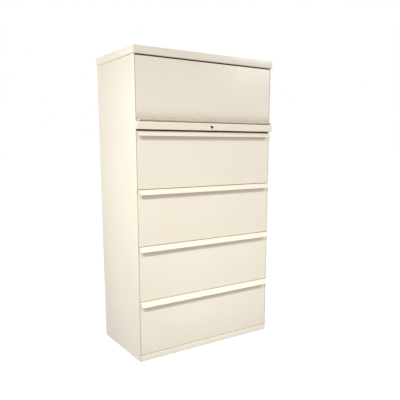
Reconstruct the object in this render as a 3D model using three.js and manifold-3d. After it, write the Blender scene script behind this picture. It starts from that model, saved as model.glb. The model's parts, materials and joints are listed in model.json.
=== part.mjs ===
// Five-high steel lateral file: a lift-up receding door over a lock rail and four equal drawers.
// Millimetres, +Z up, the fronts face -Y. The origin is on the floor, under the middle of the cabinet.
// Inside this file y is counted back from the plane of the fronts; the exported group is moved into place.
import * as THREE from 'three';
import { mergeVertices } from 'three/addons/utils/BufferGeometryUtils.js';
import Module from 'manifold-3d';

const wasm = await Module();
wasm.setup();

// ---- driving dimensions -------------------------------------------------------------------------------
const BODY_WIDTH = 914.4;
const BODY_DEPTH = 489;
const SHEET = 1.2;
const GAP = 0.3; // between pieces that touch
const FLOOR_GAP = 3; // the case stands this high on its glides
const HEM_WIDTH = 4; // front edge of each side panel, seen from the front
const HEM_DEPTH = 20;
const FRONT_GAP = 3; // round every drawer front and beside the door

const CAP_HEIGHT = 40;
const CAP_OVERHANG = 6;
const CAP_FRONT_OVERHANG = 7;
const CAP_BOTTOM = 1661;
const CAP_LIP = 22; // flange turned in all round under the cap
const BACK_FLANGE = 12;
const BACK_LIP = 8;
const FOOT_FLANGE = { width: 14, front: 30, back: 473 }; // under each side panel

const BASE_TOP = 39;
const BASE_DEPTH = 25;
const UPRIGHT = { web: 443.4, wall: 1.5, depth: 36, front: 30, rear: 404 };
const GLIDE = { x: 425, front: 50, rear: 440, pad: 16, padHeight: 7, stem: 5 };

const DRAWER_COUNT = 4;
const DRAWER_PITCH = 309.5;
const DRAWER_BASE = 42;
const FRONT_HEIGHT = DRAWER_PITCH - FRONT_GAP;
const FRONT_DEPTH = 20;
const DRAWER_TRAVEL = 400;

const PULL_REACH = 27; // how far a lip stands out from its front
const PULL_DROP = 25;
const PULL_TAPER = 3; // each end of a lip is cut back by this much at its tip

const RAIL_BOTTOM = 1284.5;
const RAIL_TOP = 1324.5;
const RAIL_REACH = 21.5;

const DOOR_BOTTOM = 1326;
const DOOR_TOP = 1653.2;
const DOOR_DEPTH = 18;
const DOOR_PIVOT = { y: 12, z: 1640 };
const DOOR_RETURN = { side: 15, bottom: 15, top: 30 }; // flanges round the back of the door
const LIP_RISE = 10; // the door's lip turns up instead of down
const CARRIAGE = { front: 29, back: 41, below: 8, above: 10, pin: 3, clearance: 0.6 };
const RUNNER = { outside: 454.4, back: 46, halfHeight: 7 };
const TRACK = { back: 470, halfHeight: 8.8, grooveHalf: 7.6, grooveOutside: 454.7 };

const TRAY_HALF = 428;
const TRAY_FRONT = FRONT_DEPTH + GAP;
const TRAY_BACK = 435;
const TRAY_LIFT = 16; // above the lower edge of the drawer's front
const TRAY_HEIGHT = 215;
const SLIDE_LIFT = 50; // slide centre above the tray's floor
const FIXED_SLIDE = { lip: 432, inside: 441.9, outside: 443.1, halfHeight: 22, front: 28, back: 462 };
const MIDDLE_SLIDE = { lip: 432.5, inside: 439.8, outside: 441.2, halfHeight: 20.2, front: 34, back: 456 };
const TRAY_RAIL = { inside: 437.4, outside: 438.8, halfHeight: 16, wall: 1.4, front: 26 };
const HANG_RAIL = { front: 60, rear: 370, thickness: 2.5, height: 20, rise: 4 };
const CATCH = { lift: 200, halfHeight: 3, hookDrop: 20, front: 24.6, back: 26 };

const LOCK = { x: 9, z: (RAIL_BOTTOM + RAIL_TOP) / 2 };
const BARREL = { flange: 11, flangeDepth: 2, neck: 9.2, hole: 9.6, bore: 7.3, back: 6 };
const CORE = { radius: 7, proud: 1.6, back: 10, keyWidth: 1.8, keyHeight: 8.4, keyDepth: 8 };
const CAM = { front: 10.3, back: 12.3, disc: 6.5, tip: 3.5, pinBack: 17 };
const LOCK_BAR = { left: -455.4, right: -444, headRight: -425, front: 21.5, back: 23.5 };
const CAM_REACH = 10;
const LOCK_TRAVEL = CAM_REACH * Math.SQRT2; // a quarter turn moves the link and the bar this far
const PIN_RADIUS = 2;

// ---- values that follow --------------------------------------------------------------------------------
const HALF = BODY_WIDTH / 2;
const SKIN_INSIDE = HALF - SHEET;
const INSIDE = SKIN_INSIDE - GAP; // half width of a piece between the two side panels
const HEM_INSIDE = HALF - HEM_WIDTH;
const FRONT_HALF = HEM_INSIDE - FRONT_GAP;
const BETWEEN_HEMS = HEM_INSIDE - 0.4;
const ORIGIN_SHIFT = -(BODY_DEPTH - PULL_REACH) / 2;

// ---- materials -----------------------------------------------------------------------------------------
function finish(color, roughness, metalness) {
  return () => new THREE.MeshStandardMaterial({ color, roughness, metalness });
}
const paint = finish(0xece4d2, 0.45, 0.0);
const innerPaint = finish(0xded6c4, 0.5, 0.0);
const zincSteel = finish(0xb4b7ba, 0.35, 0.9);
const chrome = finish(0xd8d8d8, 0.15, 1.0);
const blackPlastic = finish(0x1c1a1a, 0.4, 0.0);
const nylon = finish(0xe6e4de, 0.5, 0.0);

// ---- solids --------------------------------------------------------------------------------------------
function box(x0, x1, y0, y1, z0, z1) {
  const shape = new THREE.BoxGeometry(x1 - x0, y1 - y0, z1 - z0);
  return shape.translate((x0 + x1) / 2, (y0 + y1) / 2, (z0 + z1) / 2);
}

function bar(half, y0, y1, z0, z1) {
  return box(-half, half, y0, y1, z0, z1);
}

// A round bar along Y.
function roundY(radius, x, z, y0, y1, segments = 32) {
  return new THREE.CylinderGeometry(radius, radius, y1 - y0, segments).translate(x, (y0 + y1) / 2, z);
}

function roundX(radius, y, z, x0, x1, segments = 24) {
  const shape = new THREE.CylinderGeometry(radius, radius, x1 - x0, segments);
  return shape.rotateZ(Math.PI / 2).translate((x0 + x1) / 2, y, z);
}

function roundZ(radius, x, y, z0, z1, segments = 32) {
  const shape = new THREE.CylinderGeometry(radius, radius, z1 - z0, segments);
  return shape.rotateX(Math.PI / 2).translate(x, y, (z0 + z1) / 2);
}

// A section drawn as [y, z] points, drawn out along X.
function sectionAlongX(points, x0, x1) {
  const outline = new THREE.Shape(points.map(([y, z]) => new THREE.Vector2(y, z)));
  const shape = new THREE.ExtrudeGeometry(outline, { depth: x1 - x0, bevelEnabled: false });
  shape.applyMatrix4(new THREE.Matrix4().set(0, 0, 1, x0, 1, 0, 0, 0, 0, 1, 0, 0, 0, 0, 0, 1));
  return shape;
}

// An outline drawn as [x, z] points, with the thickness running from y0 to y1.
function plateFacingY(points, y0, y1) {
  const outline = new THREE.Shape(points.map(([x, z]) => new THREE.Vector2(x, z)));
  const shape = new THREE.ExtrudeGeometry(outline, { depth: y1 - y0, bevelEnabled: false });
  return shape.rotateX(Math.PI / 2).translate(0, y1, 0);
}

function solidOf(geometry) {
  const plain = geometry.clone();
  plain.deleteAttribute('normal');
  plain.deleteAttribute('uv');
  const merged = mergeVertices(plain, 1e-4);
  const mesh = new wasm.Mesh({
    numProp: 3,
    vertProperties: new Float32Array(merged.attributes.position.array),
    triVerts: new Uint32Array(merged.index.array),
  });
  return new wasm.Manifold(mesh);
}

function geometryOf(solid) {
  const { vertProperties, triVerts } = solid.getMesh();
  const geometry = new THREE.BufferGeometry();
  geometry.setAttribute('position', new THREE.BufferAttribute(new Float32Array(vertProperties), 3));
  geometry.setIndex(new THREE.BufferAttribute(new Uint32Array(triVerts), 1));
  geometry.computeVertexNormals();
  return geometry;
}

function join(...shapes) {
  return geometryOf(shapes.map(solidOf).reduce((whole, shape) => whole.add(shape)));
}

function cut(shape, ...tools) {
  return geometryOf(tools.map(solidOf).reduce((left, tool) => left.subtract(tool), solidOf(shape)));
}

const cabinet = new THREE.Group();
cabinet.position.y = ORIGIN_SHIFT;

function add(name, geometry, material) {
  const mesh = new THREE.Mesh(geometry, material());
  mesh.name = name;
  cabinet.add(mesh);
}

// Calls build for the left side (-1) and the right (+1); across() takes x from the centre out.
function bothSides(build) {
  for (const [side, word] of [[-1, 'left'], [1, 'right']]) {
    const span = (inner, outer) => (side < 0 ? [-outer, -inner] : [inner, outer]);
    const across = (inner, outer, ...rest) => box(...span(inner, outer), ...rest);
    build(side, word, across);
  }
}

// ---- case ----------------------------------------------------------------------------------------------
function addCase() {
  const wallTop = CAP_BOTTOM - GAP;
  bothSides((side, word, across) => {
    const skin = across(SKIN_INSIDE, HALF, 0, BODY_DEPTH, FLOOR_GAP, wallTop);
    const hem = across(HEM_INSIDE, HALF, 0, HEM_DEPTH, FLOOR_GAP, wallTop);
    const { width, front, back } = FOOT_FLANGE;
    const foot = across(HALF - width, HALF, front, back, FLOOR_GAP, FLOOR_GAP + SHEET);
    add(`side_${word}`, join(skin, hem, foot), paint);
  });

  const backInside = BODY_DEPTH - SHEET;
  const backFront = backInside - BACK_FLANGE;
  const hollowLow = FLOOR_GAP + BACK_LIP;
  const backHollow = bar(INSIDE - SHEET, backFront, backInside, hollowLow, wallTop - BACK_LIP);
  const backPan = bar(INSIDE, backFront, BODY_DEPTH, FLOOR_GAP, wallTop);
  add('back_panel', cut(backPan, backHollow), paint);

  const capHalf = HALF + CAP_OVERHANG;
  const capTop = CAP_BOTTOM + CAP_HEIGHT;
  const capBlock = bar(capHalf, -CAP_FRONT_OVERHANG, BODY_DEPTH, CAP_BOTTOM, capTop);
  const capHollow = bar(
    capHalf - SHEET,
    SHEET - CAP_FRONT_OVERHANG,
    BODY_DEPTH - SHEET,
    CAP_BOTTOM + SHEET,
    capTop - SHEET,
  );
  const capMouth = bar(
    capHalf - CAP_LIP,
    CAP_LIP - CAP_FRONT_OVERHANG,
    BODY_DEPTH - CAP_LIP,
    CAP_BOTTOM - 1,
    CAP_BOTTOM + SHEET + 1,
  );
  add('top_cap', cut(capBlock, capHollow, capMouth), paint);

  const backLimit = backFront - GAP;
  const levels = [
    ['top_panel', HEM_DEPTH + 10, wallTop - SHEET],
    ['bottom_panel', HEM_DEPTH + 4.5, BASE_TOP + GAP],
    ['compartment_floor', HEM_DEPTH + 7, RAIL_TOP - 2 * SHEET],
  ];
  for (const [name, front, level] of levels) {
    add(name, bar(INSIDE, front, backLimit, level, level + SHEET), innerPaint);
  }

  const railSection = [
    [0, FLOOR_GAP], [BASE_DEPTH, FLOOR_GAP], [BASE_DEPTH, FLOOR_GAP + SHEET],
    [SHEET, FLOOR_GAP + SHEET], [SHEET, BASE_TOP - SHEET], [BASE_DEPTH, BASE_TOP - SHEET],
    [BASE_DEPTH, BASE_TOP], [0, BASE_TOP],
  ];
  add('base_rail', sectionAlongX(railSection, -BETWEEN_HEMS, BETWEEN_HEMS), paint);
}

// Channels inside the case that carry the drawer slides.
function addUprights() {
  const { web, wall, depth } = UPRIGHT;
  const bottom = BASE_TOP + 2 * GAP + SHEET;
  for (const place of ['front', 'rear']) {
    const y0 = UPRIGHT[place];
    bothSides((side, word, across) => {
      const block = across(web, INSIDE, y0, y0 + depth, bottom, RAIL_BOTTOM - 2);
      const hollow = across(web + wall, INSIDE + 1, y0 + wall, y0 + depth - wall, bottom - 1, RAIL_BOTTOM);
      add(`upright_${place}_${word}`, cut(block, hollow), zincSteel);
    });
  }
}

function addGlides() {
  for (const place of ['front', 'rear']) {
    bothSides((side, word) => {
      const x = side * GLIDE.x;
      const pad = roundZ(GLIDE.pad, x, GLIDE[place], 0, GLIDE.padHeight);
      const stem = roundZ(GLIDE.stem, x, GLIDE[place], GLIDE.padHeight - 1, BASE_TOP, 16);
      add(`glide_${place}_${word}`, join(pad, stem), blackPlastic);
    });
  }
}

// ---- lock ----------------------------------------------------------------------------------------------
function addLock() {
  // The rail stands out in front of both side panels, and behind that it fits between their hems.
  const outer = join(
    bar(HALF, -RAIL_REACH, -0.4, RAIL_BOTTOM, RAIL_TOP),
    bar(BETWEEN_HEMS, -1, HEM_DEPTH, RAIL_BOTTOM, RAIL_TOP),
  );
  const hollowBottom = RAIL_BOTTOM + SHEET;
  const hollowTop = RAIL_TOP - SHEET;
  const railHollow = join(
    bar(HALF - SHEET, SHEET - RAIL_REACH, -0.4 - SHEET, hollowBottom, hollowTop),
    bar(BETWEEN_HEMS - SHEET, -2, HEM_DEPTH + 1, hollowBottom, hollowTop),
  );
  const barrelHole = roundY(BARREL.hole, LOCK.x, LOCK.z, -RAIL_REACH - 1, SHEET - RAIL_REACH + 1);
  add('lock_rail', cut(outer, railHollow, barrelHole), paint);

  const face = -RAIL_REACH;
  const barrel = join(
    roundY(BARREL.flange, LOCK.x, LOCK.z, face - BARREL.flangeDepth, face - GAP),
    roundY(BARREL.neck, LOCK.x, LOCK.z, face - 1, BARREL.back),
  );
  const bore = roundY(BARREL.bore, LOCK.x, LOCK.z, face - BARREL.flangeDepth - 1, BARREL.back + 1);
  add('lock_barrel', cut(barrel, bore), chrome);

  const { keyWidth, keyHeight, keyDepth } = CORE;
  const keyway = new THREE.BoxGeometry(keyWidth, keyDepth + 3, keyHeight);
  keyway.translate(LOCK.x, face + (keyDepth - 3) / 2, LOCK.z);
  const plug = roundY(CORE.radius, LOCK.x, LOCK.z, face - CORE.proud, CORE.back);
  add('lock_core', cut(plug, keyway), blackPlastic);

  // The cam's pin starts 45 degrees to the left of the top, and ends as far to the right.
  const pin = { x: LOCK.x - CAM_REACH * Math.SQRT1_2, z: LOCK.z + CAM_REACH * Math.SQRT1_2 };
  const arm = new THREE.BoxGeometry(7, 2, CAM_REACH);
  arm.translate(0, (CAM.front + CAM.back) / 2, CAM_REACH / 2).rotateY(-Math.PI / 4);
  arm.translate(LOCK.x, 0, LOCK.z);
  const camDisc = roundY(CAM.disc, LOCK.x, LOCK.z, CAM.front, CAM.back);
  const camTip = roundY(CAM.tip, pin.x, pin.z, CAM.front, CAM.back);
  const camPin = roundY(PIN_RADIUS, pin.x, pin.z, CAM.back - 0.3, CAM.pinBack, 16);
  add('lock_cam', join(camDisc, arm, camTip, camPin), zincSteel);

  // The link slides across, and the 45 degree slot at its left end lifts the bar by the same distance.
  const link = { y0: 13.5, y1: 15.5, left: -449.8, right: LOCK.x + 12, low: 1306, high: 1320.5, foot: 1287.6 };
  const linkOutline = [
    [link.left, link.foot], [-424, link.foot], [-416, link.low], [link.right, link.low],
    [link.right, link.high], [link.left, link.high],
  ];
  const slotHalf = PIN_RADIUS + 0.6;
  const camSlot = box(pin.x - slotHalf, pin.x + slotHalf, 13, 16, LOCK.z + 4.2, LOCK.z + 12.8);
  const barPin = { x: -431, z: 1293.5 };
  const slotLength = LOCK_TRAVEL * Math.SQRT2 + 2 * slotHalf;
  const rampSlot = new THREE.BoxGeometry(slotLength, 3, 2 * slotHalf).rotateY(Math.PI / 4);
  rampSlot.translate(barPin.x - LOCK_TRAVEL / 2, 14.5, barPin.z + LOCK_TRAVEL / 2);
  add('lock_link', cut(plateFacingY(linkOutline, link.y0, link.y1), camSlot, rampSlot), zincSteel);

  // The bar has one window for each drawer's catch.
  const { left, right, headRight, front, back } = LOCK_BAR;
  const top = RAIL_TOP - 15.5;
  const strip = box(left, right, front, back, BASE_TOP + 21, top);
  const head = box(left, headRight, front, back, top - 21, top);
  const pinOfBar = roundY(PIN_RADIUS, barPin.x, barPin.z, link.y0 - 0.5, front + 0.5, 16);
  const windows = catchHeights().map((z) => {
    const high = z + CATCH.halfHeight + 2;
    return box(left + 4, right - 3.8, front - 0.5, back + 0.5, z - CATCH.hookDrop - 4, high);
  });
  add('lock_bar', cut(join(strip, head, pinOfBar), ...windows), zincSteel);
}

// ---- lift-up door --------------------------------------------------------------------------------------
// Cuts the two ends of a lip back towards its tip.
function taperEnds(lip, low, high) {
  const past = 2;
  const cutBack = (PULL_TAPER * (PULL_REACH + past)) / PULL_REACH;
  const ends = [-1, 1].map((side) => {
    const corners = [[0, 0], [-cutBack, -PULL_REACH - past], [past, -PULL_REACH - past], [past, 0]];
    const plan = new THREE.Shape(corners.map(([x, y]) => new THREE.Vector2(side * (FRONT_HALF + x), y)));
    return new THREE.ExtrudeGeometry(plan, { depth: high - low, bevelEnabled: false }).translate(0, 0, low);
  });
  return cut(lip, ...ends);
}

function addDoor() {
  const pan = bar(FRONT_HALF, 0, DOOR_DEPTH, DOOR_BOTTOM, DOOR_TOP);
  const inner = [DOOR_BOTTOM + SHEET, DOOR_TOP - SHEET];
  const hollow = bar(FRONT_HALF - SHEET, SHEET, DOOR_DEPTH - SHEET, ...inner);
  const opening = [DOOR_BOTTOM + DOOR_RETURN.bottom, DOOR_TOP - DOOR_RETURN.top];
  const backOpening = bar(FRONT_HALF - DOOR_RETURN.side, DOOR_DEPTH - 2, DOOR_DEPTH + 1, ...opening);
  const root = DOOR_BOTTOM + 0.5;
  const tip = [-PULL_REACH, DOOR_BOTTOM + LIP_RISE];
  const lipSection = [[0.6, root], tip, [tip[0] + 0.4, tip[1] + 1.8], [0.6, root + 1.8]];
  const lipBar = sectionAlongX(lipSection, -FRONT_HALF, FRONT_HALF);
  const lip = taperEnds(lipBar, DOOR_BOTTOM - 5, tip[1] + 5);
  const endSection = [
    [0.6, root + 0.1], [tip[0] + 2, root + 0.4], [tip[0] + 1.4, tip[1] + 0.6], [0.6, root + 1],
  ];
  const closedEnds = [-1, 1].map((side) => {
    const outside = side * (FRONT_HALF - PULL_TAPER - 0.3);
    const ends = [outside, outside - side * 1.5].sort((a, b) => a - b);
    return sectionAlongX(endSection, ...ends);
  });
  const pinHoles = [-1, 1].map((side) => {
    const ends = [side * (FRONT_HALF - 6), side * HALF].sort((a, b) => a - b);
    return roundX(3.5, DOOR_PIVOT.y, DOOR_PIVOT.z, ...ends);
  });
  add('door_panel', cut(join(pan, lip, ...closedEnds), hollow, backOpening, ...pinHoles), paint);

  // The carriage is a cross bar with an end plate and a pivot pin on each side of the door.
  const { y, z } = DOOR_PIVOT;
  const { front, back, below, above, pin, clearance } = CARRIAGE;
  const plateInside = FRONT_HALF + clearance;
  const plateOutside = plateInside + SHEET;
  const pieces = [bar(plateOutside, front, back, z - below, z + above)];
  bothSides((side, word, across) => {
    pieces.push(across(plateInside, plateOutside, y - below, back, z - below, z + below));
    const pinEnds = [side * (FRONT_HALF - 5), side * plateOutside].sort((a, b) => a - b);
    pieces.push(roundX(pin, y, z, ...pinEnds));
  });
  const crossHollow = bar(plateInside - 2, front + SHEET, back - SHEET, z - below - 1, z + above - SHEET);
  add('door_carriage', cut(join(...pieces), crossHollow), zincSteel);

  bothSides((side, word, across) => {
    const near = plateOutside + GAP;
    const tall = RUNNER.halfHeight;
    const runner = across(near, RUNNER.outside, HEM_DEPTH + 2.5, RUNNER.back, z - tall, z + tall);
    add(`door_runner_${word}`, runner, nylon);
    const { back: end, halfHeight, grooveHalf, grooveOutside } = TRACK;
    const track = across(near, INSIDE - 0.1, HEM_DEPTH + 2, end, z - halfHeight, z + halfHeight);
    const ends = [HEM_DEPTH + 1, end + 1];
    const groove = across(plateOutside, grooveOutside, ...ends, z - grooveHalf, z + grooveHalf);
    add(`door_track_${word}`, cut(track, groove), zincSteel);
  });
}

// ---- drawers -------------------------------------------------------------------------------------------
// Drawers are counted from the top; this gives the lower edge of a drawer's front.
function drawerBottom(number) {
  return DRAWER_BASE + (DRAWER_COUNT - number) * DRAWER_PITCH;
}

function drawerNumbers() {
  return Array.from({ length: DRAWER_COUNT }, (_, i) => i + 1);
}

function catchHeights() {
  return drawerNumbers().map((number) => drawerBottom(number) + CATCH.lift);
}

function drawerFront(bottom) {
  const top = bottom + FRONT_HEIGHT;
  const pan = bar(FRONT_HALF, 0, FRONT_DEPTH, bottom, top);
  const hollow = bar(FRONT_HALF - SHEET, SHEET, FRONT_DEPTH + 1, bottom + SHEET, top - SHEET);
  const tip = [-PULL_REACH, top - PULL_DROP];
  const pullSection = [
    [0.6, top], [0, top], [tip[0] + 1, tip[1] + 0.9], tip, [tip[0] + 0.4, tip[1] - 2],
    [tip[0] + 2.4, tip[1] - 2.2], [tip[0] + 2.6, tip[1] - 0.4], [0.6, top - 2.8],
  ];
  const pull = taperEnds(sectionAlongX(pullSection, -FRONT_HALF, FRONT_HALF), tip[1] - 5, top + 5);
  // The catch reaches back through the lock bar's window, and its hook hangs down behind the bar.
  const { lift, halfHeight, hookDrop, front, back } = CATCH;
  const low = bottom + lift - halfHeight;
  const high = bottom + lift + halfHeight;
  const inside = -FRONT_HALF + SHEET;
  const catchStem = box(-FRONT_HALF, inside, FRONT_DEPTH - 1, back, low, high);
  const catchHook = box(-FRONT_HALF, inside, front, back, bottom + lift - hookDrop, high);
  return join(cut(pan, hollow), pull, catchStem, catchHook);
}

function drawerTray(bottom) {
  const floor = bottom + TRAY_LIFT;
  const top = floor + TRAY_HEIGHT;
  const walls = bar(TRAY_HALF, TRAY_FRONT, TRAY_BACK, floor, top);
  const inside = bar(TRAY_HALF - SHEET, TRAY_FRONT + SHEET, TRAY_BACK - SHEET, floor + SHEET, top + 1);
  const shapes = [cut(walls, inside)];
  const middle = floor + SLIDE_LIFT;
  bothSides((side, word, across) => {
    const { inside: web, outside, halfHeight, wall, front } = TRAY_RAIL;
    const bore = halfHeight - wall;
    const heights = [middle - halfHeight, middle + halfHeight];
    const rail = across(TRAY_HALF - 0.4, outside, front, TRAY_BACK, ...heights);
    const hollow = across(TRAY_HALF - 0.2, web, front - 1, TRAY_BACK + 1, middle - bore, middle + bore);
    shapes.push(cut(rail, hollow));
  });
  return join(...shapes);
}

function slideChannel(across, { lip, inside, outside, halfHeight, front, back }, middle) {
  const block = across(lip, outside, front, back, middle - halfHeight, middle + halfHeight);
  const inner = halfHeight - SHEET;
  return cut(block, across(lip - 1, inside, front - 1, back + 1, middle - inner, middle + inner));
}

function addDrawer(number) {
  const bottom = drawerBottom(number);
  const floor = bottom + TRAY_LIFT;
  add(`drawer_${number}_front`, drawerFront(bottom), paint);
  add(`drawer_${number}_tray`, drawerTray(bottom), innerPaint);

  const { thickness, height, rise } = HANG_RAIL;
  const railTop = floor + TRAY_HEIGHT + rise;
  for (const place of ['front', 'rear']) {
    const y = HANG_RAIL[place];
    const hanger = bar(TRAY_HALF - SHEET - GAP, y, y + thickness, railTop - height, railTop);
    add(`drawer_${number}_hang_rail_${place}`, hanger, zincSteel);
  }

  const middle = floor + SLIDE_LIFT;
  bothSides((side, word, across) => {
    const fixed = slideChannel(across, FIXED_SLIDE, middle);
    add(`drawer_${number}_slide_fixed_${word}`, fixed, zincSteel);
    const moving = slideChannel(across, MIDDLE_SLIDE, middle);
    add(`drawer_${number}_slide_middle_${word}`, moving, zincSteel);
  });
}

addCase();
addUprights();
addGlides();
addLock();
addDoor();
drawerNumbers().forEach(addDrawer);

export default cabinet;
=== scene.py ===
import json
import math

import bmesh
import bpy
from mathutils import Euler, Matrix, Vector


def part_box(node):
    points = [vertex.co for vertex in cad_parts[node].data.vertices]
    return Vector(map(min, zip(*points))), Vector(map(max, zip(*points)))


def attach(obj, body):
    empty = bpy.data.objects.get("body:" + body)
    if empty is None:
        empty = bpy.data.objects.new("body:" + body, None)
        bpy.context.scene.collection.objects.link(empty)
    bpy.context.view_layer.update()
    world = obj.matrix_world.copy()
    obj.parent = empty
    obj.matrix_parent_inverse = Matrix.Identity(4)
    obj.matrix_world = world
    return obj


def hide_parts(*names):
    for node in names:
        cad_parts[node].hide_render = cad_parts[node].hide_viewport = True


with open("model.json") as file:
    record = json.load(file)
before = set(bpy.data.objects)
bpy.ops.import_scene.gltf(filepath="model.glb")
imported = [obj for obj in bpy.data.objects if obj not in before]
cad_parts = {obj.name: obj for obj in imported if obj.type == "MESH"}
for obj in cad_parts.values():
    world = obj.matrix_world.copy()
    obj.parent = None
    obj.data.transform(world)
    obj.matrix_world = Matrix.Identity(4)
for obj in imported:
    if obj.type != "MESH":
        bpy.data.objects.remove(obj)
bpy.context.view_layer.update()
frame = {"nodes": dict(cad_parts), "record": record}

# A five-high steel lateral file. Every place and size comes from the frame's nodes, in metres.
# The fronts face -Y, +X is to the right seen from the front, and the floor is at z = 0.
RECORD = frame["record"]
BODY_OF = {node: body for body, nodes in RECORD["behaviour"]["bodies"].items() for node in nodes}
SLOT_OF = {part["node"]: part["material_slot"] for part in RECORD["subparts"]}

MM = 0.001
SHEET = 1.2 * MM
BEND = 2.0 * MM  # outside radius where a sheet is folded
BEND_SEGMENTS = 4
CUT_EDGE = 0.25 * MM  # rounding of a sheared sheet edge
DRAWERS = (1, 2, 3, 4)
SIDES = (("left", -1), ("right", 1))
LIP_RISE = 10 * MM  # of the door's lip
BEND_MARK = "bend"  # face attribute: 1 on folded edges, where the paint is thinner


# ---- camera, lights and floor --------------------------------------------------------------------------
CAMERA_PLACE = Vector((-1.579, -2.528, 1.197))
CAMERA_TURN = math.radians(-33.52)
CAMERA_PITCH = math.radians(90 - 9.59)
CAMERA_LENS = 43.34  # on a 36 mm wide sensor
CAMERA_SHIFT = 0.069  # the view reaches further up than down from the lens's axis

WORLD_FILL = 0.63
WORLD_TINT = (0.985, 0.955, 1.0, 1.0)
WORLD_SEEN = 1.0
# name, place, what it points at, size, power, spread in degrees, colour
LIGHTS = (
    ("key_light", (-2.50, -2.39, 3.05), (0.45, 0.0, -0.2), 0.45, 6.8, 48, (0.93, 1.0, 0.92)),
    ("right_light", (2.60, -2.20, 2.60), (-0.6, 0.0, -0.5), 0.9, 8.4, 70, (0.93, 1.0, 0.92)),
    ("side_light", (-2.90, 1.60, 2.00), (-0.4, 0.1, 0.9), 1.4, 41.0, 180, (0.94, 1.0, 0.91)),
)
FLOOR_RADIUS = 60
FLOOR_GREY = (0.35, 0.35, 0.35, 1)
FLOOR_GLOW = 0.8  # the floor's own light, which makes it read as white


def make_camera():
    data = bpy.data.cameras.new("camera")
    data.sensor_width = 36
    data.lens = CAMERA_LENS
    data.shift_y = CAMERA_SHIFT
    camera = bpy.data.objects.new("camera", data)
    camera.location = CAMERA_PLACE
    camera.rotation_euler = Euler((CAMERA_PITCH, 0, CAMERA_TURN))
    bpy.context.scene.collection.objects.link(camera)
    bpy.context.scene.camera = camera


def make_lights():
    for name, place, target, size, power, spread, colour in LIGHTS:
        data = bpy.data.lights.new(name, "AREA")
        data.shape = "DISK"
        data.size = size
        data.energy = power
        data.color = colour
        data.spread = math.radians(spread)
        light = bpy.data.objects.new(name, data)
        light.location = place
        light.rotation_euler = (Vector(target) - Vector(place)).to_track_quat("-Z", "Y").to_euler()
        bpy.context.scene.collection.objects.link(light)


def make_world():
    """A white studio: it fills the shadows softly, and is seen as plain white."""
    world = bpy.data.worlds.new("studio")
    world.use_nodes = True
    bpy.context.scene.world = world
    nodes, links = world.node_tree.nodes, world.node_tree.links
    nodes.clear()
    output = nodes.new("ShaderNodeOutputWorld")
    mix = nodes.new("ShaderNodeMixShader")
    path = nodes.new("ShaderNodeLightPath")
    links.new(path.outputs["Is Camera Ray"], mix.inputs["Fac"])
    for socket, strength, colour in ((1, WORLD_FILL, WORLD_TINT), (2, WORLD_SEEN, (1, 1, 1, 1))):
        background = nodes.new("ShaderNodeBackground")
        background.inputs["Color"].default_value = colour
        background.inputs["Strength"].default_value = strength
        links.new(background.outputs["Background"], mix.inputs[socket])
    links.new(mix.outputs["Shader"], output.inputs["Surface"])
    bpy.context.scene.view_settings.view_transform = "Standard"


def make_floor():
    bm = bmesh.new()
    bmesh.ops.create_circle(bm, cap_ends=True, segments=96, radius=FLOOR_RADIUS)
    mesh = bpy.data.meshes.new("floor")
    bm.to_mesh(mesh)
    bm.free()
    floor = bpy.data.objects.new("floor", mesh)
    bpy.context.scene.collection.objects.link(floor)
    shader = Shader("floor_white", roughness=0.9)
    shader.bsdf.inputs["Base Color"].default_value = FLOOR_GREY
    shader.bsdf.inputs["Emission Color"].default_value = (1, 1, 1, 1)
    shader.bsdf.inputs["Emission Strength"].default_value = FLOOR_GLOW
    mesh.materials.append(shader.material)
    floor.visible_diffuse = False  # the world alone fills the shadows
    floor.visible_glossy = False


# ---- materials -----------------------------------------------------------------------------------------
def linear(red, green, blue):
    """A colour given as 0 to 255 display values, as the shader's linear ones."""
    values = []
    for value in (red, green, blue):
        share = value / 255
        values.append(share / 12.92 if share <= 0.04045 else ((share + 0.055) / 1.055) ** 2.4)
    return (*values, 1.0)


GRIT_PAINT = linear(176, 163, 142)
# the darker colour of the painted shade on the door above its lip
PAINTED_SHADE_COLOUR = linear(203, 190, 176)
PAINTED_SHADE_HEIGHT = 75 * MM  # how far above the lip the door's paint carries painted shade
PAINTED_SHADE_FALL = 2.1  # how fast that fades upwards
PAINTED_SHADE_RAGGED = 6 * MM


def socket_name(word):
    """coat_weight becomes Coat Weight."""
    return word.replace("_", " ").title().replace("Ior", "IOR")


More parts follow.
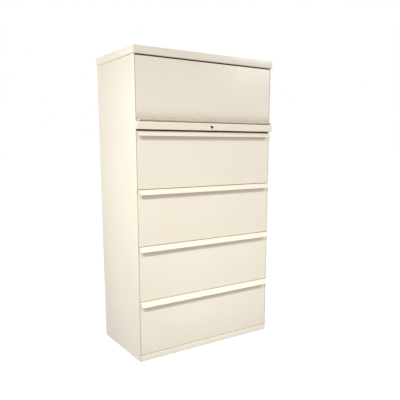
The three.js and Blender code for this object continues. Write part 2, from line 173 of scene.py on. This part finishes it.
class Shader:
    """A material with one Principled shader, and short calls that add the nodes that vary it."""

    def __init__(self, name, roughness=0.5, metallic=0.0, **sockets):
        self.material = bpy.data.materials.new(name)
        self.material.use_nodes = True
        self.nodes = self.material.node_tree.nodes
        self.links = self.material.node_tree.links
        self.bsdf = self.nodes["Principled BSDF"]
        self.bsdf.inputs["Roughness"].default_value = roughness
        self.bsdf.inputs["Metallic"].default_value = metallic
        for socket, value in sockets.items():
            self.bsdf.inputs[socket_name(socket)].default_value = value
        self.place = self.nodes.new("ShaderNodeTexCoord").outputs["Object"]

    def stretched(self, scale):
        """The piece's own coordinates, squeezed by scale along X, Y and Z."""
        mapping = self.nodes.new("ShaderNodeMapping")
        mapping.inputs["Scale"].default_value = scale
        self.links.new(self.place, mapping.inputs["Vector"])
        return mapping.outputs["Vector"]

    def noise(self, scale, detail=3.0, roughness=0.55, at=None):
        """Smooth noise from 0 to 1, with about this many features to the metre."""
        node = self.nodes.new("ShaderNodeTexNoise")
        node.inputs["Scale"].default_value = scale
        node.inputs["Detail"].default_value = detail
        node.inputs["Roughness"].default_value = roughness
        self.links.new(at or self.place, node.inputs["Vector"])
        return node.outputs["Fac"]

    def specks(self, scale, at=None):
        """Distance to the nearest of many scattered points, for pits, spangle and grit."""
        node = self.nodes.new("ShaderNodeTexVoronoi")
        node.inputs["Scale"].default_value = scale
        self.links.new(at or self.place, node.inputs["Vector"])
        return node.outputs["Distance"]

    def ranged(self, value, low, high, to_low, to_high):
        node = self.nodes.new("ShaderNodeMapRange")
        node.clamp = True
        for socket, number in zip(("From Min", "From Max", "To Min", "To Max"), (low, high, to_low, to_high)):
            node.inputs[socket].default_value = number
        self.links.new(value, node.inputs["Value"])
        return node.outputs["Result"]

    def combined(self, operation, first, second):
        node = self.nodes.new("ShaderNodeMath")
        node.operation = operation
        for socket, value in zip(node.inputs, (first, second)):
            if isinstance(value, (int, float)):
                socket.default_value = value
            else:
                self.links.new(value, socket)
        return node.outputs["Value"]

    def attribute(self, name):
        node = self.nodes.new("ShaderNodeAttribute")
        node.attribute_name = name
        return node.outputs["Fac"]

    def height(self, axis="Z"):
        node = self.nodes.new("ShaderNodeSeparateXYZ")
        self.links.new(self.place, node.inputs["Vector"])
        return node.outputs[axis]

    def blended(self, share, first, second):
        """A colour between first and second. Each is a colour or another node's output."""
        node = self.nodes.new("ShaderNodeMix")
        node.data_type = "RGBA"
        self.links.new(share, node.inputs["Factor"])
        for socket, colour in ((node.inputs[6], first), (node.inputs[7], second)):
            if isinstance(colour, tuple):
                socket.default_value = colour
            else:
                self.links.new(colour, socket)
        return node.outputs[2]

    def bump(self, height, depth, after=None):
        node = self.nodes.new("ShaderNodeBump")
        node.inputs["Distance"].default_value = depth
        self.links.new(height, node.inputs["Height"])
        if after:
            self.links.new(after, node.inputs["Normal"])
        return node.outputs["Normal"]

    def drive(self, **sockets):
        for socket, value in sockets.items():
            self.links.new(value, self.bsdf.inputs[socket_name(socket)])
        return self.material


def enamel(name, base, shade, thin, roughness, shade_heights=None):
    """Baked enamel on steel: orange peel, faint cloudiness, smudges in its gloss, and thinner paint on the
    folds.
    Given two heights, it carries painted shade: the paint is darkest at the first height and clean from the
    second up."""
    s = Shader(name, coat_weight=0.12, coat_roughness=0.22, specular_ior_level=0.42)
    cloud = s.ranged(s.noise(2.6, detail=4.0), 0.35, 0.68, 0.0, 1.0)
    mottle = s.ranged(s.noise(46.0, detail=5.0), 0.32, 0.7, 0.0, 0.35)
    colour = s.blended(s.combined("ADD", s.combined("MULTIPLY", cloud, 0.55), mottle), base, shade)
    bends = s.attribute(BEND_MARK)
    worn = s.combined("MULTIPLY", bends, s.ranged(s.noise(70.0, detail=6.0), 0.46, 0.66, 0.15, 0.7))
    colour = s.blended(worn, colour, thin)
    grit = s.ranged(s.specks(210.0), 0.0, 0.045, 0.5, 0.0)
    grit = s.combined("MULTIPLY", grit, s.ranged(s.noise(9.0), 0.56, 0.66, 0.0, 1.0))
    colour = s.blended(grit, colour, GRIT_PAINT)
    # painted shade: the paint darkens towards the door's lip, standing in for the shade that the lip makes on
    # the door above it
    if shade_heights:
        level = s.height()
        wander = s.ranged(s.noise(30.0, detail=5.0), 0.3, 0.7, -PAINTED_SHADE_RAGGED, PAINTED_SHADE_RAGGED)
        ragged = s.combined("ADD", level, wander)
        painted_shade = s.ranged(ragged, *shade_heights, 1.0, 0.0)
        colour = s.blended(s.combined("POWER", painted_shade, PAINTED_SHADE_FALL), colour, PAINTED_SHADE_COLOUR)
    smudge = s.ranged(s.noise(7.5, detail=6.0, roughness=0.6), 0.35, 0.7, roughness - 0.06, roughness + 0.07)
    fine = s.ranged(s.noise(320.0, detail=2.0), 0.3, 0.7, -0.025, 0.025)
    peel = s.bump(s.noise(430.0, detail=2.0, roughness=0.4), 0.035 * MM)
    waves = s.bump(s.noise(5.5, detail=1.0), 0.45 * MM, after=peel)
    return s.drive(base_color=colour, roughness=s.combined("ADD", smudge, fine), normal=waves)


def zinc():
    """Bright zinc plate: rolled grain along the part, soft spangle and a faint yellow passivation."""
    s = Shader("zinc_steel", metallic=1.0)
    spangle = s.ranged(s.specks(95.0), 0.1, 0.75, 0.0, 1.0)
    colour = s.blended(spangle, linear(196, 198, 200), linear(172, 176, 180))
    tint = s.ranged(s.noise(14.0, detail=4.0), 0.45, 0.7, 0.0, 0.5)
    colour = s.blended(tint, colour, linear(198, 188, 160))
    grain = s.noise(260.0, detail=4.0, at=s.stretched((1.0, 0.06, 1.0)))
    return s.drive(
        base_color=colour,
        roughness=s.ranged(grain, 0.3, 0.7, 0.27, 0.42),
        normal=s.bump(grain, 0.02 * MM),
    )


def chrome():
    s = Shader("lock_chrome", metallic=1.0)
    scratch = s.noise(900.0, detail=5.0, at=s.stretched((1.0, 1.0, 0.12)))
    haze = s.ranged(s.noise(300.0), 0.4, 0.7, 0.0, 0.5)
    colour = s.blended(haze, linear(226, 220, 208), linear(198, 192, 182))
    return s.drive(
        base_color=colour,
        roughness=s.ranged(scratch, 0.35, 0.72, 0.08, 0.24),
        normal=s.bump(scratch, 0.006 * MM),
    )


def moulded(name, base, shade, roughness, grain):
    """Moulded plastic: an even colour with faint flow marks and a fine texture."""
    s = Shader(name, specular_ior_level=0.45)
    colour = s.blended(s.ranged(s.noise(60.0, detail=4.0), 0.35, 0.68, 0.0, 1.0), base, shade)
    texture = s.noise(grain, detail=3.0)
    return s.drive(
        base_color=colour,
        roughness=s.ranged(s.noise(120.0), 0.3, 0.7, roughness - 0.07, roughness + 0.07),
        normal=s.bump(texture, 0.04 * MM),
    )


def make_materials():
    cream = (linear(240, 231, 214), linear(236, 226, 208), linear(246, 240, 227), 0.40)
    inner = (linear(233, 226, 209), linear(228, 220, 202), linear(238, 232, 218), 0.47)
    lip_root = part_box("door_panel")[0].z + LIP_RISE
    return {
        "cream_paint": enamel("cream_paint", *cream),
        # the door's enamel, with painted shade above its lip
        "door_paint_with_painted_shade": enamel("door_paint_with_painted_shade", *cream, shade_heights=(lip_root, lip_root + PAINTED_SHADE_HEIGHT)),
        "inner_paint": enamel("inner_paint", *inner),
        "zinc_steel": zinc(),
        "lock_chrome": chrome(),
        "lock_black": moulded("lock_black", linear(26, 24, 24), linear(36, 33, 32), 0.34, 1500.0),
        "black_glide": moulded("black_glide", linear(30, 29, 29), linear(42, 40, 39), 0.52, 900.0),
        "nylon": moulded("nylon", linear(230, 227, 216), linear(220, 215, 201), 0.46, 1100.0),
    }


# ---- mesh work -----------------------------------------------------------------------------------------
def bend_layer(bm):
    return bm.faces.layers.float.get(BEND_MARK) or bm.faces.layers.float.new(BEND_MARK)


def sharp_edges(bm, least=30):
    return [e for e in bm.edges if len(e.link_faces) == 2 and e.calc_face_angle() > math.radians(least)]


def round_edges(bm, edges, radius, segments, clamp=False):
    """Rounds these edges and marks the new faces as bends."""
    layer = bend_layer(bm)
    made = bmesh.ops.bevel(
        bm, geom=edges, offset=radius, segments=segments, profile=0.5, affect="EDGES", clamp_overlap=clamp
    )
    for face in made["faces"]:
        face[layer] = 1.0


def pan(low, high, open_axis, open_sign, lip=0.0, bend=BEND):
    """A folded pan: a box with one side open, rounded bends, and a lip turned in round the opening."""
    low, high = Vector(low), Vector(high)
    size = high - low
    bm = bmesh.new()
    block = Matrix.Translation((low + high) / 2) @ Matrix.Diagonal((*size, 1))
    bmesh.ops.create_cube(bm, size=1, matrix=block)
    opening = max(bm.faces, key=lambda face: face.normal[open_axis] * open_sign)
    if lip:
        bmesh.ops.inset_region(bm, faces=[opening], thickness=lip, use_even_offset=True)
    bmesh.ops.delete(bm, geom=[opening], context="FACES")
    round_edges(bm, sharp_edges(bm), bend, BEND_SEGMENTS)
    return bm


def folded(points, bend=BEND):
    """The outer line of a folded sheet: straight runs between points, with an arc of radius bend at a fold.
    Gives (u, v, is_bend) rows, where is_bend says that the run to the next point is part of an arc."""
    corners = [Vector(p) for p in points]
    rows = [(*corners[0], False)]
    for before, corner, after in zip(corners, corners[1:], corners[2:]):
        incoming, outgoing = (before - corner).normalized(), (after - corner).normalized()
        half = incoming.angle(outgoing) / 2
        tangent = min(bend / math.tan(half), 0.49 * (before - corner).length, 0.49 * (after - corner).length)
        radius = tangent * math.tan(half)
        centre = corner + (incoming + outgoing).normalized() * (radius / math.sin(half))
        start, end = corner + incoming * tangent - centre, corner + outgoing * tangent - centre
        sweep = start.angle_signed(end)
        for step in range(BEND_SEGMENTS + 1):
            turned = Matrix.Rotation(-sweep * step / BEND_SEGMENTS, 2) @ start
            rows.append((*(centre + turned), step < BEND_SEGMENTS))
    rows.append((*corners[-1], False))
    return rows


def strip(rows, axis, ends, outside):
    """Draws a folded line out along an axis (0, 1 or 2). ends(u, v) gives the two ends at that point, and
    outside is the way that the first face looks."""
    bm = bmesh.new()
    layer = bend_layer(bm)
    others = [a for a in range(3) if a != axis]
    pairs = []
    for u, v, _ in rows:
        made = []
        for end in ends(u, v):
            place = [0.0, 0.0, 0.0]
            place[axis], place[others[0]], place[others[1]] = end, u, v
            made.append(bm.verts.new(place))
        pairs.append(made)
    for (u, v, is_bend), (a, b), (c, d) in zip(rows, pairs, pairs[1:]):
        face = bm.faces.new((a, b, d, c))
        face[layer] = float(is_bend)
    bm.normal_update()
    bm.faces.ensure_lookup_table()
    if bm.faces[0].normal.dot(Vector(outside)) < 0:
        bmesh.ops.reverse_faces(bm, faces=bm.faces)
    return bm


def lathe(profile, centre, axis, segments=48):
    """Turns (radius, along) points round an axis through centre. A profile starts and ends on the axis,
    or is a closed loop."""
    bm = bmesh.new()
    layer = bend_layer(bm)
    closed = profile[0] == profile[-1]
    turn = {1: Matrix.Rotation(math.radians(-90), 4, "X"), 2: Matrix.Identity(4)}[axis]
    rings = []
    for radius, along in profile[:-1] if closed else profile:
        if radius == 0:
            rings.append([bm.verts.new(turn @ Vector((0, 0, along)))] * segments)
            continue
        angles = [math.tau * i / segments for i in range(segments)]
        places = [Vector((radius * math.cos(a), radius * math.sin(a), along)) for a in angles]
        rings.append([bm.verts.new(turn @ place) for place in places])
    for ring, after in zip(rings, rings[1:] + rings[:1] if closed else rings[1:]):
        for i in range(segments):
            j = (i + 1) % segments
            corners = list(dict.fromkeys((ring[i], ring[j], after[j], after[i])))
            bm.faces.new(corners)[layer] = 0.0
    bmesh.ops.translate(bm, verts=bm.verts, vec=centre)
    bmesh.ops.recalc_face_normals(bm, faces=bm.faces)
    return bm


def merged(*parts):
    """Several bmeshes as one."""
    whole = bmesh.new()
    bend_layer(whole)
    for part in parts:
        mesh = bpy.data.meshes.new("part")
        part.to_mesh(mesh)
        part.free()
        whole.from_mesh(mesh)
        bpy.data.meshes.remove(mesh)
    return whole


def carved(bm, *tools):
    """bm with the shapes of the tools cut out of it."""
    made = []
    for part in (bm, *tools):
        mesh = bpy.data.meshes.new("carving")
        part.to_mesh(mesh)
        part.free()
        obj = bpy.data.objects.new("carving", mesh)
        bpy.context.scene.collection.objects.link(obj)
        made.append(obj)
    body, cutters = made[0], made[1:]
    for cutter in cutters:
        modifier = body.modifiers.new("cut", "BOOLEAN")
        modifier.operation = "DIFFERENCE"
        modifier.solver = "EXACT"
        modifier.object = cutter
    result = bmesh.new()
    result.from_object(body, bpy.context.evaluated_depsgraph_get())
    for obj in made:
        mesh = obj.data
        bpy.data.objects.remove(obj)
        bpy.data.meshes.remove(mesh)
    return result


def finished(bm, name, thickness=0.0, cut_edge=0.0):
    """The mesh as an object: thickness turns a surface into sheet, inwards, and cut_edge rounds its edges."""
    mesh = bpy.data.meshes.new(name)
    bm.to_mesh(mesh)
    bm.free()
    obj = bpy.data.objects.new(name, mesh)
    bpy.context.scene.collection.objects.link(obj)
    if thickness:
        solidify = obj.modifiers.new("thickness", "SOLIDIFY")
        solidify.thickness = thickness
        solidify.offset = -1
        solidify.use_even_offset = True
        solidify.use_quality_normals = True
    if cut_edge:
        bevel = obj.modifiers.new("cut_edge", "BEVEL")
        bevel.width = cut_edge
        bevel.segments = 2
        bevel.angle_limit = math.radians(55)
    if obj.modifiers:
        depsgraph = bpy.context.evaluated_depsgraph_get()
        solid = bpy.data.meshes.new_from_object(obj.evaluated_get(depsgraph))
        obj.modifiers.clear()
        obj.data = solid
        solid.name = name
        bpy.data.meshes.remove(mesh)
    obj.data.shade_smooth()
    obj.data.set_sharp_from_angle(angle=math.radians(38))
    return obj


def rides(obj, node, slot=None, stands_for=True, paint=None):
    """Puts a finished object on the body of a CAD node, with that node's material slot unless slot names
    another. paint picks a material other than the slot's own."""
    slot = slot or SLOT_OF[node]
    obj.data.materials.clear()
    obj.data.materials.append(MATERIALS[paint or slot])
    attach(obj, BODY_OF[node])
    if stands_for:
        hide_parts(node)
    return obj


def rounded_node(node, radius, segments=2):
    """The CAD node's own shape with its edges rounded."""
    bm = bmesh.new()
    bm.from_mesh(frame["nodes"][node].data)
    bmesh.ops.remove_doubles(bm, verts=bm.verts, dist=0.002 * MM)
    bmesh.ops.dissolve_limit(bm, angle_limit=math.radians(0.5), verts=bm.verts, edges=bm.edges)
    round_edges(bm, sharp_edges(bm), radius, segments, clamp=True)
    return rides(finished(bm, node + "_body"), node)


# ---- case ----------------------------------------------------------------------------------------------
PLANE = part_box("side_left")[0].y  # the plane of the fronts
HEM_WIDTH = 4 * MM
HEM_DEPTH = 20 * MM
TIGHT_BEND = 1.5 * MM
SKIN_GAP = 0.05 * MM  # between two folded sheets that lie against each other
FOOT_RISE = 12 * MM  # of the flange at a side panel's foot
FOOT_WIDTH = 14 * MM
FOOT_FROM_FRONT = 30 * MM
FOOT_FROM_REAR = 16 * MM
CAP_LIP = 22 * MM
CAP_BEND = 2.2 * MM
SCREWS_A_SIDE = 7
SCREW_INSET = 14 * MM
SCREW_END = 40 * MM  # from the back panel's ends to its last screws


def make_side(word, sign):
    """A side panel: a flat skin folded into a narrow hem at its front edge, and a flange at its foot."""
    node = f"side_{word}"
    low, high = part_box(node)
    outer = low.x if sign < 0 else high.x
    hem_inner = outer - sign * HEM_WIDTH
    line = [(outer, high.y), (outer, low.y), (hem_inner, low.y), (hem_inner, low.y + HEM_DEPTH)]
    skin = strip(folded(line, TIGHT_BEND), 2, lambda x, y: (low.z, high.z), (sign, 0, 0))
    rides(finished(skin, f"{node}_skin", SHEET, CUT_EDGE), node)
    inside = outer - sign * (SHEET + SKIN_GAP)
    line = [(inside, low.z + FOOT_RISE), (inside, low.z), (outer - sign * FOOT_WIDTH, low.z)]
    run = (low.y + FOOT_FROM_FRONT, high.y - FOOT_FROM_REAR)
    foot = strip(folded(line, TIGHT_BEND), 1, lambda x, z: run, (sign, 0, 0))
    rides(finished(foot, f"{node}_foot", SHEET, CUT_EDGE), node)


def make_cap():
    low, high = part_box("top_cap")
    bm = pan(low, high, 2, -1, lip=CAP_LIP, bend=CAP_BEND)
    rides(finished(bm, "top_cap_shell", SHEET, CUT_EDGE), "top_cap")


def make_back():
    """The back panel is a shallow pan, held by a row of screws up each side."""
    low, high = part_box("back_panel")
    rides(finished(pan(low, high, 1, -1, bend=TIGHT_BEND), "back_panel_sheet", SHEET, CUT_EDGE), "back_panel")
    screws = []
    for x in (low.x + SCREW_INSET, high.x - SCREW_INSET):
        for row in range(SCREWS_A_SIDE):
            z = low.z + SCREW_END + (high.z - low.z - 2 * SCREW_END) * row / (SCREWS_A_SIDE - 1)
            turn = 0.7 * row + 40 * x  # in radians, so that neighbouring recesses don't line up
            screws.append(screw_head((x, high.y, z), turn))
    rides(finished(merged(*screws), "back_panel_screws"), "back_panel", slot="zinc_steel", stands_for=False)


def screw_head(place, turn, radius=3.6 * MM):
    """A pan head screw that looks along +Y, with a cross recess."""
    rise = 0.45 * radius
    profile = [(0, rise), (0.5 * radius, 0.95 * rise), (0.85 * radius, 0.6 * rise), (radius, 0.0), (0, 0.0)]
    head = lathe(profile, (0, 0, 0), 1, segments=24)
    arms = []
    for long, short in ((0.62, 0.13), (0.13, 0.62)):
        arm = bmesh.new()
        size = Matrix.Diagonal((2 * long * radius, 2 * rise, 2 * short * radius, 1))
        bmesh.ops.create_cube(arm, size=1, matrix=Matrix.Translation((0, 1.35 * rise, 0)) @ size)
        arms.append(arm)
    head = carved(head, *arms)
    placed = Matrix.Translation(place) @ Matrix.Rotation(turn, 4, "Y")
    bmesh.ops.transform(head, verts=head.verts, matrix=placed)
    return head


def make_base_rail():
    low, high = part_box("base_rail")
    line = [(high.y, low.z), (low.y, low.z), (low.y, high.z), (high.y, high.z)]
    bm = strip(folded(line), 0, lambda y, z: (low.x, high.x), (0, 0, -1))
    rides(finished(bm, "base_rail_channel", SHEET, CUT_EDGE), "base_rail")


def make_glide(node):
    """A levelling glide: a moulded pad, a hexagon above it and a threaded stem."""
    low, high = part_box(node)
    centre = Vector(((low.x + high.x) / 2, (low.y + high.y) / 2, 0))
    pad = (high.x - low.x) / 2
    stem, root, pitch = 5 * MM, 4.4 * MM, 1.5 * MM
    edge, shoulder, pad_top = 1.5 * MM, 4.5 * MM, 7 * MM
    nut, nut_top = 8 * MM, 12 * MM
    profile = [(0, 0), (pad - edge, 0), (pad, edge), (pad, shoulder)]
    profile += [(pad - 4 * MM, pad_top), (stem, pad_top)]
    for turn in range(int((high.z - pad_top - 2 * MM) / pitch)):
        z = pad_top + turn * pitch
        profile += [(stem, z + 0.3 * pitch), (root, z + 0.8 * pitch)]
    profile += [(root, high.z), (0, high.z)]
    hexagon = lathe([(0, pad_top), (nut, pad_top), (nut, nut_top), (0, nut_top)], centre, 2, segments=6)
    rides(finished(merged(lathe(profile, centre, 2, segments=32), hexagon), f"{node}_foot"), node)


def make_case():
    for word, sign in SIDES:
        make_side(word, sign)
        for place in ("front", "rear"):
            make_glide(f"glide_{place}_{word}")
            rounded_node(f"upright_{place}_{word}", 0.5 * MM)
    make_cap()
    make_back()
    make_base_rail()
    for node in ("top_panel", "bottom_panel", "compartment_floor"):
        rounded_node(node, 0.4 * MM)


# ---- lock ----------------------------------------------------------------------------------------------
RAIL_GAP = 0.4 * MM  # between the rail and the side panels
RAIL_RETURN = 8 * MM
LOCK_HOLE = 9.6 * MM  # radius of the hole for the barrel
KEYWAY = (1.8 * MM, 16 * MM, 8.4 * MM)


def make_lock_rail():
    """The rail's face stands in front of the side panels, and its flanges reach back between them."""
    low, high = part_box("lock_rail")
    rail = pan(low, (high.x, PLANE - RAIL_GAP, high.z), 1, 1)
    hole_low, hole_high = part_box("lock_barrel")
    centre = Vector(((hole_low.x + hole_high.x) / 2, low.y, (hole_low.z + hole_high.z) / 2))
    obj = finished(rail, "lock_rail_face", SHEET, CUT_EDGE)
    body = bmesh.new()
    body.from_mesh(obj.data)
    bpy.data.objects.remove(obj)
    depth = 5 * MM
    drill = lathe([(0, -depth), (LOCK_HOLE, -depth), (LOCK_HOLE, depth), (0, depth)], centre, 1)
    rides(finished(carved(body, drill), "lock_rail_face"), "lock_rail")
    half = high.x - HEM_WIDTH - RAIL_GAP
    for word, z, outside in (("upper", high.z, 1), ("lower", low.z, -1)):
        line = [(PLANE - 1 * MM, z), (high.y, z), (high.y, z - outside * RAIL_RETURN)]
        bm = strip(folded(line, TIGHT_BEND), 0, lambda y, z: (-half, half), (0, 0, outside))
        rides(finished(bm, f"lock_rail_{word}_flange", SHEET, CUT_EDGE), "lock_rail")


def make_lock():
    make_lock_rail()
    low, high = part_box("lock_barrel")
    centre = Vector(((low.x + high.x) / 2, low.y, (low.z + high.z) / 2))
    outer, length = (high.x - low.x) / 2, high.y - low.y
    bore, neck, flange = 7.3 * MM, 9.2 * MM, 1.7 * MM
    ring = [
        (bore, 0.5 * MM), (bore + 0.6 * MM, 0), (outer - 0.9 * MM, 0), (outer - 0.25 * MM, 0.3 * MM),
        (outer, 0.9 * MM), (outer, flange), (neck, flange), (neck, length), (bore, length), (bore, 0.5 * MM),
    ]
    rides(finished(lathe(ring, centre, 1, segments=64), "lock_barrel_ring"), "lock_barrel")

    low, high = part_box("lock_core")
    centre = Vector(((low.x + high.x) / 2, low.y, (low.z + high.z) / 2))
    radius, length = (high.x - low.x) / 2, high.y - low.y
    plug = [(0, 0.15 * MM), (radius - 1.4 * MM, 0.15 * MM), (radius - 1 * MM, 0), (radius - 0.4 * MM, 0)]
    plug += [(radius, 0.4 * MM), (radius, length), (0, length)]
    keyway = bmesh.new()
    slot_size = Matrix.Diagonal((*KEYWAY, 1))
    bmesh.ops.create_cube(keyway, size=1, matrix=Matrix.Translation(centre) @ slot_size)
    rides(finished(carved(lathe(plug, centre, 1, segments=64), keyway), "lock_core_plug"), "lock_core")
    for node in ("lock_cam", "lock_link", "lock_bar"):
        rounded_node(node, 0.25 * MM)


# ---- lips, drawers and door ----------------------------------------------------------------------------
PULL_DROP = 25 * MM
PULL_TAPER = 3 * MM
LIP_BEND = 1.25 * MM
HEM_FOLD = 2.7 * MM  # across the hem at a pull's tip
HEM_LENGTH = 9 * MM
CATCH_LEVEL = 200 * MM  # above the foot of a drawer's front
CATCH_HALF = 3 * MM
CATCH_HOOK = 20 * MM
CATCH_TIP = 1.4 * MM
TRAY_HEM = 1.3 * MM
TRAY_HEM_DROP = 9 * MM
TRAY_HEM_RISE = 0.4 * MM
TRAY_HEM_SHEET = 0.8 * MM
INNER_RAIL_HALF = 16 * MM
BALL_ROW = 17.5 * MM  # from a slide's centre line to each row of balls
BALL_INSET = 2.8 * MM  # from the web of the tray's rail to the balls' centres
FIRST_BALL = 14 * MM


def tapered_ends(node):
    """The ends of a lip: as wide as its front at the root, and a little narrower at the tip."""
    low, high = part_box(node)

    def ends(y, z):
        out = min(max((PLANE - y) / (PLANE - low.y), 0), 1)
        return low.x + PULL_TAPER * out, high.x - PULL_TAPER * out

    return ends


def plate(outline, x, thickness):
    """An outline of (y, z) points as a flat plate, from x to x + thickness."""
    bm = bmesh.new()
    face = bm.faces.new([bm.verts.new((x, y, z)) for y, z in outline])
    made = bmesh.ops.extrude_face_region(bm, geom=[face])
    moved = [item for item in made["geom"] if isinstance(item, bmesh.types.BMVert)]
    bmesh.ops.translate(bm, verts=moved, vec=(thickness, 0, 0))
    bmesh.ops.recalc_face_normals(bm, faces=bm.faces)
    return bm


def make_drawer_front(number):
    """A pan with its pull: the sheet folds out over the top edge, slopes down and is hemmed at its tip."""
    node = f"drawer_{number}_front"
    low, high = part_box(node)
    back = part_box(f"drawer_{number}_tray")[0].y - 0.3 * MM
    face = pan((low.x, PLANE, low.z), (high.x, back, high.z - SHEET - SKIN_GAP), 1, 1)
    rides(finished(face, f"{node}_pan", SHEET, CUT_EDGE), node)
    tip = Vector((low.y, high.z - PULL_DROP))
    slope = (tip - Vector((PLANE, high.z))).normalized()
    under = Vector((-slope.y, slope.x))
    hem = tip + under * HEM_FOLD
    line = [(back - 2 * MM, high.z), (PLANE, high.z), tip, hem, hem - slope * HEM_LENGTH]
    pull = strip(folded(line, LIP_BEND), 0, tapered_ends(node), (0, 0, 1))
    rides(finished(pull, f"drawer_{number}_pull", SHEET - 0.1 * MM, CUT_EDGE), node)
    # The catch goes back through the lock bar's window, and its hook hangs behind the bar.
    z = low.z + CATCH_LEVEL
    upper, lower, foot = z + CATCH_HALF, z - CATCH_HALF, z - CATCH_HOOK
    root, hook = back - 12 * MM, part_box("lock_bar")[1].y + 2.5 * MM
    outline = [(root, upper), (hook, upper), (hook, foot)]
    outline += [(hook - CATCH_TIP, foot), (hook - CATCH_TIP, lower), (root, lower)]
    catch = finished(plate(outline, low.x, SHEET), f"drawer_{number}_catch", cut_edge=CUT_EDGE)
    rides(catch, node, slot="zinc_steel")


def channel_line(lip, web, low_z, high_z):
    return [(lip, low_z), (web, low_z), (web, high_z), (lip, high_z)]


def make_slide(number, word, sign):
    """One side's slide: a fixed channel, a middle channel with its balls, and the rail on the tray."""
    for part in ("fixed", "middle"):
        node = f"drawer_{number}_slide_{part}_{word}"
        low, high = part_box(node)
        lip, web = (high.x, low.x) if sign < 0 else (low.x, high.x)
        line = folded(channel_line(lip, web, low.z, high.z), BEND)
        bm = strip(line, 1, lambda x, z: (low.y, high.y), (0, 0, -1))
        rides(finished(bm, f"{node}_channel", SHEET, CUT_EDGE), node)
    middle_low, middle_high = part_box(f"drawer_{number}_slide_middle_{word}")
    centre = (middle_low.z + middle_high.z) / 2
    make_balls(number, word, sign, centre)
    tray_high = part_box(f"drawer_{number}_tray")[1]
    web = sign * tray_high.x
    wall = sign * tray_half(number)
    start = middle_low.y - 8 * MM
    line = folded(channel_line(wall, web, centre - INNER_RAIL_HALF, centre + INNER_RAIL_HALF), BEND)
    bm = strip(line, 1, lambda x, z: (start, tray_high.y), (0, 0, -1))
    rail = finished(bm, f"drawer_{number}_slide_inner_{word}", SHEET, CUT_EDGE)
    rides(rail, f"drawer_{number}_tray", slot="zinc_steel")


def make_balls(number, word, sign, centre):
    """Two rows of steel balls in thin cages, between the middle channel and the tray's rail."""
    node = f"drawer_{number}_slide_middle_{word}"
    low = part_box(node)[0]
    x = sign * (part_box(f"drawer_{number}_tray")[1].x - BALL_INSET)
    count, spacing, radius = 10, 22 * MM, 1.4 * MM
    parts = []
    for row in (-1, 1):
        z = centre + row * BALL_ROW
        for index in range(count):
            ball = bmesh.new()
            place = Matrix.Translation((x, low.y + FIRST_BALL + index * spacing, z))
            bmesh.ops.create_uvsphere(ball, u_segments=10, v_segments=8, radius=radius, matrix=place)
            parts.append(ball)
        cage = bmesh.new()
        middle = (x, low.y + FIRST_BALL + (count - 1) * spacing / 2, z)
        size = Matrix.Diagonal((5 * MM, count * spacing, 0.5 * MM, 1))
        bmesh.ops.create_cube(cage, size=1, matrix=Matrix.Translation(middle) @ size)
        parts.append(cage)
    rides(finished(merged(*parts), f"drawer_{number}_balls_{word}"), node, stands_for=False)


def tray_half(number):
    """Half the width of a drawer's tray: its hang rails reach to 1.5 mm from the outside."""
    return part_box(f"drawer_{number}_hang_rail_front")[1].x + 1.5 * MM


def make_tray(number):
    """The drawer's box, with its upper edges folded over on the outside."""
    node = f"drawer_{number}_tray"
    low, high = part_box(node)
    half = tray_half(number)
    box = pan((-half, low.y, low.z), (half, high.y, high.z), 2, 1)
    rides(finished(box, f"{node}_box", SHEET, CUT_EDGE), node)
    foot, top = high.z - TRAY_HEM_DROP, high.z + TRAY_HEM_RISE
    for word, sign in SIDES:
        outer, inner = sign * (half + TRAY_HEM), sign * (half - SHEET)
        line = [(outer, foot), (outer, top), (inner, top)]
        bm = strip(folded(line, 1 * MM), 1, lambda x, z: (low.y + 4 * MM, high.y - 3 * MM), (sign, 0, 0))
        rides(finished(bm, f"{node}_hem_{word}", TRAY_HEM_SHEET), node)
    line = [(high.y + TRAY_HEM, foot), (high.y + TRAY_HEM, top), (high.y - SHEET, top)]
    bm = strip(folded(line, 1 * MM), 0, lambda y, z: (3 * MM - half, half - 3 * MM), (0, 1, 0))
    rides(finished(bm, f"{node}_hem_rear", TRAY_HEM_SHEET), node)


def make_drawer(number):
    make_drawer_front(number)
    make_tray(number)
    for place in ("front", "rear"):
        rounded_node(f"drawer_{number}_hang_rail_{place}", 0.5 * MM)
    for word, sign in SIDES:
        make_slide(number, word, sign)


def make_door():
    """A pan with returns behind, and a lip along its foot that turns up in front of it."""
    node = "door_panel"
    low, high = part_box(node)
    panel = pan((low.x, PLANE, low.z + SHEET + SKIN_GAP), high, 1, 1, lip=15 * MM)
    # the door's pan takes the enamel with painted shade above its lip
    rides(finished(panel, "door_panel_pan", SHEET, CUT_EDGE), node, paint="door_paint_with_painted_shade")
    tip = (low.y, low.z + LIP_RISE)
    line = folded([(PLANE + 10 * MM, low.z), (PLANE, low.z), tip], LIP_BEND)
    lip = strip(line, 0, tapered_ends(node), (0, 0, -1))
    rides(finished(lip, "door_panel_lip", SHEET, CUT_EDGE), node)
    foot = low.z + 0.6 * MM
    outline = [(PLANE, foot), (low.y + 2 * MM, foot)]
    outline += [(low.y + 1.5 * MM, tip[1] - 0.5 * MM), (PLANE, foot + 1 * MM)]
    for word, sign in SIDES:
        x = sign * (high.x - PULL_TAPER - 1.2 * MM)
        end = finished(plate(outline, x, -sign * SHEET), f"door_lip_end_{word}", cut_edge=CUT_EDGE)
        rides(end, node)
        rounded_node(f"door_track_{word}", 0.3 * MM)
        rounded_node(f"door_runner_{word}", 1 * MM)
    rounded_node("door_carriage", 0.3 * MM)


MATERIALS = make_materials()
make_camera()
make_world()
make_lights()
make_floor()
make_case()
make_lock()
make_door()
for drawer in DRAWERS:
    make_drawer(drawer)
